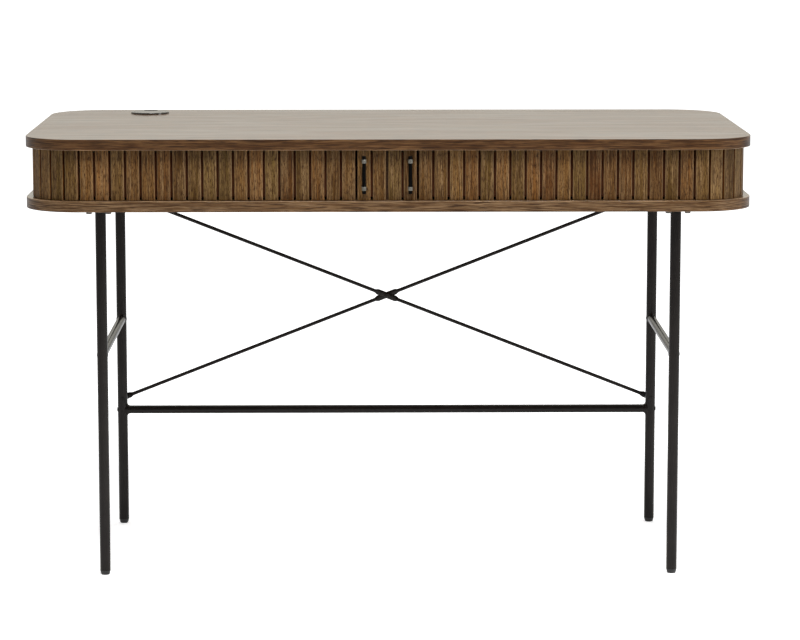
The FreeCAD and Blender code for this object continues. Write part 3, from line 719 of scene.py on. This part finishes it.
# Turned brass with brushed nickel plate: pale grey, and drawn out round the collar by the
# fine lines of the brushing.
place = add(satin_nickel, "TexCoord")
lines = add(satin_nickel, "Mapping", {"Vector": place.outputs["Object"], "Scale": (60, 60, 3000)})
lines = add(satin_nickel, "TexNoise", {"Vector": lines.outputs[0], "Scale": 1, "Detail": 2})
shade = add(
    satin_nickel, "Mix",
    {"Factor": lines.outputs[0], "A": colour("#77756d"), "B": colour("#918f87")},
    data_type="RGBA",
)
sheen = add(satin_nickel, "MapRange", {"Value": lines.outputs[0], "To Min": 0.3, "To Max": 0.42})
surface = add(
    satin_nickel, "BsdfPrincipled",
    {"Base Color": shade.outputs[2], "Metallic": 1.0, "Roughness": sheen.outputs[0]},
)
add(satin_nickel, "OutputMaterial", {"Surface": surface.outputs[0]})

zinc_plate = start_material("zinc_plated_steel")
# Bright zinc on machine screws and bolts, with the faint mottle of the plating bath.
place = add(zinc_plate, "TexCoord")
mottle = add(zinc_plate, "TexNoise", {"Vector": place.outputs["Object"], "Scale": 400, "Detail": 3})
shade = add(
    zinc_plate, "Mix",
    {"Factor": mottle.outputs[0], "A": colour("#5f5c57"), "B": colour("#7f7b74")},
    data_type="RGBA",
)
sheen = add(zinc_plate, "MapRange", {"Value": mottle.outputs[0], "To Min": 0.3, "To Max": 0.5})
surface = add(
    zinc_plate, "BsdfPrincipled",
    {"Base Color": shade.outputs[2], "Metallic": 1.0, "Roughness": sheen.outputs[0]},
)
add(zinc_plate, "OutputMaterial", {"Surface": surface.outputs[0]})

for side, way in (("left", -1), ("right", 1)):
    x, face_y = track_place(way, 1.5 * slat_pitch)[:2]
    bar_y = face_y - bar_out
    low, high = pull_z - bar_length / 2, pull_z + bar_length / 2
    bar = start_rod(side + "_bar", (x, bar_y, low), (x, bar_y, high), bar_radius)
    round_rims(bar_round)
    finish_piece(bar, black_lacquer, side + "_door", [side + "_pull_bar"])
    parts = []
    for z in (pull_z - collar_reach, pull_z + collar_reach):
        foot = start_rod("foot", (x, bar_y, z), (x, face_y, z), foot_radius)
        select("FACE", lambda face: face.normal.y > 0.9)
        grow((0, 0, 0))
        bpy.ops.transform.resize(value=(foot_spread, 1, foot_spread), center_override=(x, face_y, z))
        grow((0, -foot_rim, 0))
        low, high = z - collar_height / 2, z + collar_height / 2
        collar = start_rod("collar", (x, bar_y, low), (x, bar_y, high), collar_radius)
        round_rims(collar_round)
        select("FACE", lambda face: len(face.verts) > 10)
        bpy.ops.mesh.inset(thickness=collar_radius - collar_round - bar_radius)
        bpy.ops.mesh.delete(type="FACE")
        parts += [foot, collar]
    collars = join(parts, side + "_collars")
    finish_piece(collars, satin_nickel, side + "_door", [side + "_pull_posts"])
    dress([side + "_pull_screws"], zinc_plate)

# ---- Walls and backs of the storage box ---------------------------------------------------
# Veneered boards between the panels: three walls, two thin inner backs and the plain back
# panel. They are dowelled to the top, and screwed up through the bottom panel.
back_round, back_grain_shift = 0.0006, 9
liner = start_material("matt_walnut_liner_board")
# Plain walnut-faced board with a matt lacquer, darker and duller than the outside.
place = add(liner, "TexCoord")
lines = add(liner, "Mapping", {"Vector": place.outputs["Object"], "Scale": (7, 7, 190)})
bands = add(
    liner, "TexNoise",
    {"Vector": lines.outputs[0], "Scale": 1, "Detail": 4, "Roughness": 0.6, "Distortion": 0.5},
)
lines = add(liner, "Mapping", {"Vector": place.outputs["Object"], "Scale": (60, 60, 1000)})
pores = add(liner, "TexNoise", {"Vector": lines.outputs[0], "Scale": 1, "Detail": 2})
wood = add(
    liner, "Mix",
    {"Factor": bands.outputs[0], "A": colour("#4a3221"), "B": colour("#7a593d")},
    data_type="RGBA",
)
tone = add(liner, "MapRange", {"Value": pores.outputs[0], "From Min": 0.5, "From Max": 0.7, "To Max": 0.5})
wood = add(
    liner, "Mix", {"Factor": tone.outputs[0], "A": wood.outputs[2], "B": colour("#322015")}, data_type="RGBA"
)
relief = add(liner, "Bump", {"Height": pores.outputs[0], "Strength": 0.15, "Distance": 0.0003}, invert=True)
surface = add(
    liner, "BsdfPrincipled", {"Base Color": wood.outputs[2], "Roughness": 0.6, "Normal": relief.outputs[0]}
)
add(liner, "OutputMaterial", {"Surface": surface.outputs[0]})
dress(["centre_wall", "left_wall", "right_wall", "left_inner_back", "right_inner_back"], liner)

low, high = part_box("back_panel")
back = start_box("back_board", low, high)
bpy.ops.mesh.select_all(action="SELECT")
bpy.ops.mesh.bevel(offset=back_round, segments=2, affect="EDGES")
bpy.ops.object.mode_set(mode="OBJECT")
lay_grain(back, lambda normal, at: (at.x + at.y, at.z + back_grain_shift))
finish_piece(back, walnut_veneer, "desk", ["back_panel"])

beech = start_material("raw_beech_dowel")
# Pale beech with short brown flecks, unfinished.
place = add(beech, "TexCoord")
lines = add(beech, "Mapping", {"Vector": place.outputs["Object"], "Scale": (900, 900, 90)})
flecks = add(beech, "TexNoise", {"Vector": lines.outputs[0], "Scale": 1, "Detail": 2})
wood = add(
    beech, "Mix",
    {"Factor": flecks.outputs[0], "A": colour("#a87c50"), "B": colour("#dcb98c")},
    data_type="RGBA",
)
surface = add(beech, "BsdfPrincipled", {"Base Color": wood.outputs[2], "Roughness": 0.7})
add(beech, "OutputMaterial", {"Surface": surface.outputs[0]})
dress(["panel_dowels"], beech)
dress(["wall_screws"], zinc_plate)

# ---- Cable grommet ------------------------------------------------------------------------
# A flanged sleeve pressed into the top, with a flat cap that turns in it and has a notch for
# cables at its edge. Both are moulded in black ABS with a fine satin texture.
sleeve_low, sleeve_radius, sleeve_bore = 0.730, 0.0298, 0.0255
flange_radius, flange_height, flange_round = 0.0341, 0.0030, 0.0012
seat_radius, seat_depth = 0.0280, 0.0037
cap_low, cap_radius, cap_round = 0.7456, 0.0277, 0.0004
notch_half_width, notch_start, notch_round = 0.01175, 0.0137, 0.003
flange_top = top_high + flange_height
black_abs = start_material("black_moulded_abs")
# Spark-textured ABS: charcoal black and satin, paler where it is seen at a low angle.
place = add(black_abs, "TexCoord")
grit = add(black_abs, "TexNoise", {"Vector": place.outputs["Object"], "Scale": 1500, "Detail": 2})
shade = add(
    black_abs, "Mix",
    {"Factor": grit.outputs[0], "A": colour("#24201d"), "B": colour("#302c28")},
    data_type="RGBA",
)
sheen = add(black_abs, "MapRange", {"Value": grit.outputs[0], "To Min": 0.1, "To Max": 0.16})
relief = add(black_abs, "Bump", {"Height": grit.outputs[0], "Strength": 0.1, "Distance": 0.0001})
surface = add(
    black_abs, "BsdfPrincipled",
    {"Base Color": shade.outputs[2], "Roughness": sheen.outputs[0], "IOR": 1.54, "Normal": relief.outputs[0]},
)
add(black_abs, "OutputMaterial", {"Surface": surface.outputs[0]})

x, y = grommet_x, grommet_y
sleeve = start_rod("grommet_sleeve", (x, y, sleeve_low), (x, y, top_high), sleeve_radius, 72)
select("FACE", lambda face: face.normal.z > 0.9)
grow((0, 0, 0))
spread = flange_radius / sleeve_radius
bpy.ops.transform.resize(value=(spread, spread, 1), center_override=(x, y, top_high))
grow((0, 0, flange_height))
bpy.ops.mesh.inset(thickness=flange_radius - seat_radius)
grow((0, 0, -seat_depth))
bpy.ops.mesh.inset(thickness=seat_radius - sleeve_bore)
bpy.ops.mesh.delete(type="FACE")
select("FACE", lambda face: face.normal.z < -0.9 and len(face.verts) > 10)
bpy.ops.mesh.inset(thickness=sleeve_radius - sleeve_bore)
bpy.ops.mesh.delete(type="FACE")
select("EDGE", lambda edge: edge.is_boundary)
bpy.ops.mesh.bridge_edge_loops()
flange_middle = Vector((x, y, flange_top))
select(
    "EDGE",
    lambda edge: all(
        abs(corner.co.z - flange_top) < 1e-5
        and abs((corner.co - flange_middle).length - flange_radius) < 1e-5
        for corner in edge.verts
    ),
)
bpy.ops.mesh.bevel(offset=flange_round, segments=4, affect="EDGES")
finish_piece(sleeve, black_abs, "desk", ["cable_grommet_sleeve"])

cap = start_rod("grommet_disc", (x, y, cap_low), (x, y, flange_top), cap_radius, 72)
# The cutter of the notch goes past the cap on all its open sides.
notch = start_box(
    "notch", (x - notch_half_width, y + notch_start, 0.740), (x + notch_half_width, y + 0.05, 0.755)
)
select("EDGE", lambda edge: rise(edge) > 0.01)
bpy.ops.mesh.bevel(offset=notch_round, segments=6, affect="EDGES")
bpy.ops.object.mode_set(mode="OBJECT")
cut_away(cap, notch)
rim = cap.modifiers.new("rim", "BEVEL")
rim.width = cap_round
rim.segments = 2
rim.limit_method = "ANGLE"
apply_modifier(cap, rim)
finish_piece(cap, black_abs, "grommet_cap", ["cable_grommet_cap"])

# ---- Legs ---------------------------------------------------------------------------------
# Four plain steel tubes, each welded to a mounting plate that four socket head bolts hold to
# the bottom panel, with a tapered plastic glide pushed in at the foot. The steel is powder
# coated black before assembly.
leg_x, leg_y, leg_radius, leg_round = 0.479, 0.201, 0.009, 0.0005
glide_top, glide_foot_radius, glide_round = 0.0074, 0.007, 0.0008
plate_low, plate_half_width, plate_half_depth = 0.623, 0.026, 0.044
plate_corner, plate_round = 0.008, 0.0005
bolt_x, bolt_y, bolt_low, bolt_radius, bolt_round = 0.016, 0.033, 0.617, 0.0048, 0.0007
socket_wall, socket_depth = 0.0026, 0.003
weld_z, weld_out, weld_radius, weld_spread = 0.6226, 0.0008, 0.0016, 1.12
powder_coat = start_material("black_powder_coated_steel")
# Fine-grained satin powder coat: a warm near-black, soft from the front and bright along the
# tubes at a low angle.
place = add(powder_coat, "TexCoord")
grit = add(powder_coat, "TexNoise", {"Vector": place.outputs["Object"], "Scale": 1200, "Detail": 2})
cloud = add(powder_coat, "TexNoise", {"Vector": place.outputs["Object"], "Scale": 25, "Detail": 2})
shade = add(
    powder_coat, "Mix",
    {"Factor": cloud.outputs[0], "A": colour("#1a1715"), "B": colour("#262220")},
    data_type="RGBA",
)
sheen = add(powder_coat, "MapRange", {"Value": grit.outputs[0], "To Min": 0.2, "To Max": 0.28})
relief = add(powder_coat, "Bump", {"Height": grit.outputs[0], "Strength": 0.04, "Distance": 0.0001})
surface = add(
    powder_coat, "BsdfPrincipled",
    {"Base Color": shade.outputs[2], "Roughness": sheen.outputs[0], "IOR": 1.26, "Normal": relief.outputs[0]},
)
add(powder_coat, "OutputMaterial", {"Surface": surface.outputs[0]})

glide_plastic = start_material("black_moulded_glide")
# Hard black polyethylene, slightly waxy, scuffed grey towards the floor.
place = add(glide_plastic, "TexCoord")
height = add(glide_plastic, "SeparateXYZ", {0: place.outputs["Object"]})
scuff = add(glide_plastic, "TexNoise", {"Vector": place.outputs["Object"], "Scale": 500, "Detail": 3})
low_down = add(
    glide_plastic, "MapRange", {"Value": height.outputs[2], "From Min": 0.003, "From Max": 0.0, "To Max": 0.6}
)
tone_change = add(glide_plastic, "Math", {0: low_down.outputs[0], 1: scuff.outputs[0]}, operation="MULTIPLY")
shade = add(
    glide_plastic, "Mix",
    {"Factor": tone_change.outputs[0], "A": colour("#151414"), "B": colour("#4a4846")},
    data_type="RGBA",
)
surface = add(glide_plastic, "BsdfPrincipled", {"Base Color": shade.outputs[2], "Roughness": 0.5})
add(glide_plastic, "OutputMaterial", {"Surface": surface.outputs[0]})


def start_bead(name, radius, thickness, place, turn=(0, 0, 0)):
    """Adds a weld bead as a ring and leaves it in edit mode."""
    deselect_all()
    bpy.ops.mesh.primitive_torus_add(
        major_radius=radius, minor_radius=thickness, major_segments=64, minor_segments=10,
        location=place, rotation=turn,
    )
    return start_edit(name)


leg = start_rod("leg", (0, 0, glide_top), (0, 0, plate_low), leg_radius, 48)
round_rims(leg_round, 2)
plate = start_box(
    "plate",
    (-plate_half_width, -plate_half_depth, plate_low),
    (plate_half_width, plate_half_depth, bottom_low),
)
select("EDGE", lambda edge: rise(edge) > 0.003)
bpy.ops.mesh.bevel(offset=plate_corner, segments=6, affect="EDGES")
select("FACE", lambda face: face.normal.z < -0.9)
bpy.ops.mesh.region_to_loop()
bpy.ops.mesh.bevel(offset=plate_round, segments=2, affect="EDGES")
glide = start_rod("glide", (0, 0, 0), (0, 0, glide_top), leg_radius, 48)
select("FACE", lambda face: face.normal.z < -0.9)
taper = glide_foot_radius / leg_radius
bpy.ops.transform.resize(value=(taper, taper, 1), center_override=(0, 0, 0))
bpy.ops.mesh.region_to_loop()
bpy.ops.mesh.bevel(offset=glide_round, segments=3, affect="EDGES")
bolt = start_rod("bolt", (0, 0, bolt_low), (0, 0, plate_low), bolt_radius, 24)
select("FACE", lambda face: face.normal.z < -0.9)
bpy.ops.mesh.inset(thickness=socket_wall)
grow((0, 0, socket_depth))
select(
    "EDGE",
    lambda edge: all(
        abs(corner.co.z - bolt_low) < 1e-5 and corner.co.xy.length > bolt_radius - socket_wall / 2
        for corner in edge.verts
    ),
)
bpy.ops.mesh.bevel(offset=bolt_round, segments=3, affect="EDGES")
weld = start_bead("weld", leg_radius + weld_out, weld_radius, (0, 0, weld_z))
select("VERT", lambda point: point.co.z > plate_low)
bpy.ops.transform.resize(value=(weld_spread, weld_spread, 1), center_override=(0, 0, plate_low))
bpy.ops.object.mode_set(mode="OBJECT")
bolts = []
for end, y_way in (("front", -1), ("back", 1)):
    for side, x_way in (("left", -1), ("right", 1)):
        at = Matrix.Translation((x_way * leg_x, y_way * leg_y, 0))
        corner = end + "_" + side
        for source, name, material, slot, replaced in (
            (leg, "_tube", powder_coat, "black_steel", "_leg"),
            (plate, "_plate", powder_coat, "black_steel", "_mounting_plate"),
            (glide, "_foot", glide_plastic, "glide_plastic", "_glide"),
        ):
            finish_piece(place_copy(source, corner + name, at), material, "desk", [corner + replaced])
        finish_piece(place_copy(weld, corner + "_top_weld", at), powder_coat, "desk")
        for x in (-bolt_x, bolt_x):
            for y in (-bolt_y, bolt_y):
                bolts.append(place_copy(bolt, "bolt", at @ Matrix.Translation((x, y, 0))))
for source in (leg, plate, glide, bolt, weld):
    bpy.data.objects.remove(source)
finish_piece(join(bolts, "socket_bolts"), zinc_plate, "desk", ["leg_bolts"])

# ---- Side rails ---------------------------------------------------------------------------
# A tube between the front and back leg of each side, coped to their round and welded, so that
# each pair of legs is one frame.
rail_radius, rail_z, cutter_reach = 0.0076, 0.3754, 0.03
bead_out, bead_radius, bead_gap = 0.0006, 0.0015, 0.0003


def cope(tube, place):
    """Cuts the end of a tube to the round of the leg that stands at a place."""
    x, y, z = place
    cutter = start_rod("leg_round", (x, y, z - cutter_reach), (x, y, z + cutter_reach), leg_radius, 48)
    bpy.ops.object.mode_set(mode="OBJECT")
    cut_away(tube, cutter)


for side, way in (("left", -1), ("right", 1)):
    x = way * leg_x
    rail = start_rod(side + "_rail", (x, -leg_y, rail_z), (x, leg_y, rail_z), rail_radius, 48)
    for y in (-leg_y, leg_y):
        cope(rail, (x, y, rail_z))
    finish_piece(rail, powder_coat, "desk", [side + "_side_rail"])
    for end, y_way in (("front", -1), ("back", 1)):
        name = "%s_%s_rail_weld" % (end, side)
        bead = start_bead(name, rail_radius + bead_out, bead_radius, (x, 0, rail_z), (math.pi / 2, 0, 0))
        bpy.ops.object.mode_set(mode="OBJECT")
        # The bead follows the round of the leg.
        for point in bead.data.vertices:
            across = max(-leg_radius, min(leg_radius, point.co.x - x))
            point.co.y += y_way * (leg_y - math.sqrt(leg_radius**2 - across**2) - bead_gap)
        finish_piece(bead, powder_coat, "desk")

# ---- Back stretcher -----------------------------------------------------------------------
# A tube between the back legs with a flared saddle at each end that hugs the leg. A bolt goes
# through the leg and the saddle into the tube from outside.
stretcher_z, stretcher_radius, stretcher_wall, bore_depth = 0.2094, 0.0074, 0.0015, 0.02
flare_length, flare_growth, saddle_half_width, flare_rings = 0.0054, 0.0043, 0.0082, 8
shank_radius, shank_inside, head_out, head_height, head_spread = 0.002, 0.012, 0.0007, 0.0022, 2
head_rim, head_dome, hexagon_rim, hexagon_depth = 0.0006, 0.0003, 0.0018, 0.0016
saddle_end = leg_x - leg_radius - flare_length


def cut_ring(x):
    """In edit mode, cuts a ring round a bar that lies along x."""
    bpy.ops.mesh.select_all(action="SELECT")
    bpy.ops.mesh.bisect(plane_co=(x, 0, 0), plane_no=(1, 0, 0))


left_end, right_end = (-saddle_end, leg_y, stretcher_z), (saddle_end, leg_y, stretcher_z)
stretcher = start_rod("stretcher_tube", left_end, right_end, stretcher_radius, 48)
for way in (-1, 1):
    select("FACE", lambda face: face.normal.x * way > 0.9)
    bpy.ops.mesh.inset(thickness=stretcher_wall)
    grow((-way * bore_depth, 0, 0))
finish_piece(stretcher, powder_coat, "desk", ["back_stretcher"])
for side, way in (("left", -1), ("right", 1)):
    end = (way * leg_x, leg_y, stretcher_z)
    flare = start_rod(side + "_flare", (way * saddle_end, leg_y, stretcher_z), end, stretcher_radius, 48)
    shares = [step / flare_rings for step in range(1, flare_rings + 1)]
    rings = {way * (saddle_end + flare_length * share): share for share in shares}
    for x in rings:
        cut_ring(x)
    rings[way * leg_x] = 1
    # The flare widens toward the leg in a quarter round, and hugs it no wider than the saddle.
    for x, share in rings.items():
        select("VERT", lambda point: abs(point.co.x - x) < 1e-5)
        grown = 1 + flare_growth * (1 - math.sqrt(1 - share**2)) / stretcher_radius
        hugging = min(grown, saddle_half_width / stretcher_radius)
        bpy.ops.transform.resize(value=(1, hugging, grown), center_override=(x, leg_y, stretcher_z))
    cope(flare, end)
    finish_piece(flare, powder_coat, "desk", [side + "_stretcher_saddle"], angle=50)
bolts = []
for way in (-1, 1):
    near, far = way * (saddle_end - shank_inside), way * (leg_x + leg_radius + head_out)
    bolts.append(start_rod("bolt", (near, leg_y, stretcher_z), (far, leg_y, stretcher_z), shank_radius, 32))
    select("FACE", lambda face: face.normal.x * way > 0.9)
    bpy.ops.transform.translate(value=(-way * head_height, 0, 0))
    grow((0, 0, 0))
    bpy.ops.transform.resize(value=(1, head_spread, head_spread), center_override=(far, leg_y, stretcher_z))
    grow((way * head_height, 0, 0))
    bpy.ops.mesh.inset(thickness=head_rim)
    bpy.ops.transform.translate(value=(way * head_dome, 0, 0))
    bpy.ops.mesh.inset(thickness=hexagon_rim)
    grow((-way * hexagon_depth, 0, 0))
end_bolts = join(bolts, "stretcher_end_bolts")
finish_piece(end_bolts, powder_coat, "desk", ["stretcher_bolts"])

# ---- Cross brace --------------------------------------------------------------------------
# Two thin rods, pressed flat at their middles, where one rivet holds them, and at their ends,
# which are bolted to the back of the rear legs. Spacers carry the rear rod off the legs.
brace_low, brace_high, rod_radius, rod_pitch = 0.2290, 0.6040, 0.0032, 0.0025
flat_half, flat_thin, tip_least = 0.00535, 0.0012, 0.02
middle_flat, end_flat, press_length = 0.016, 0.013, 0.0075
brace_half = math.hypot(2 * leg_x, brace_high - brace_low) / 2
brace_reach = brace_half + flat_half
brace_mid_z = (brace_low + brace_high) / 2
angle = math.atan2(brace_high - brace_low, 2 * leg_x)
for number, (name, lean) in enumerate((("front_brace_rod", -1), ("rear_brace_rod", 1))):
    plane_y = leg_y + leg_radius + flat_thin + number * rod_pitch
    brace = start_rod(name + "_bar", (-brace_reach, 0, 0), (brace_reach, 0, 0), rod_radius, 20)
    stations = [middle_flat + press_length * step / 6 for step in range(7)]
    stations += [brace_half - end_flat - press_length * step / 6 for step in range(7)]
    stations += [brace_half + flat_half * math.sin(step * math.pi / 16) for step in range(8)]
    for x in [way * station for station in stations for way in (-1, 1)]:
        cut_ring(x)
    for station in stations + [brace_reach]:
        # How far the rod is pressed here, with a soft shoulder, and rounded off at its tip.
        to_middle = (middle_flat + press_length - station) / press_length
        to_end = (station - brace_half + end_flat + press_length) / press_length
        flat = max(min(1, to_middle), min(1, to_end), 0)
        flat = flat * flat * (3 - 2 * flat)
        wide = 1 + (flat_half / rod_radius - 1) * flat
        thin = 1 + (flat_thin / rod_radius - 1) * flat
        if station > brace_half:
            wide *= math.sqrt(max(tip_least, 1 - ((station - brace_half) / flat_half) ** 2))
        for x in (-station, station):
            select("VERT", lambda point: abs(point.co.x - x) < 1e-5)
            bpy.ops.transform.resize(value=(1, thin, wide), center_override=(x, 0, 0))
    bpy.ops.object.mode_set(mode="OBJECT")
    tilt = Matrix.Rotation(-lean * angle, 4, "Y")
    brace.data.transform(Matrix.Translation((0, plane_y, brace_mid_z)) @ tilt)
    finish_piece(brace, powder_coat, "desk", [name], angle=50)
dress(["brace_bolts", "brace_spacers", "brace_rivet"], powder_coat)

low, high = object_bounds()
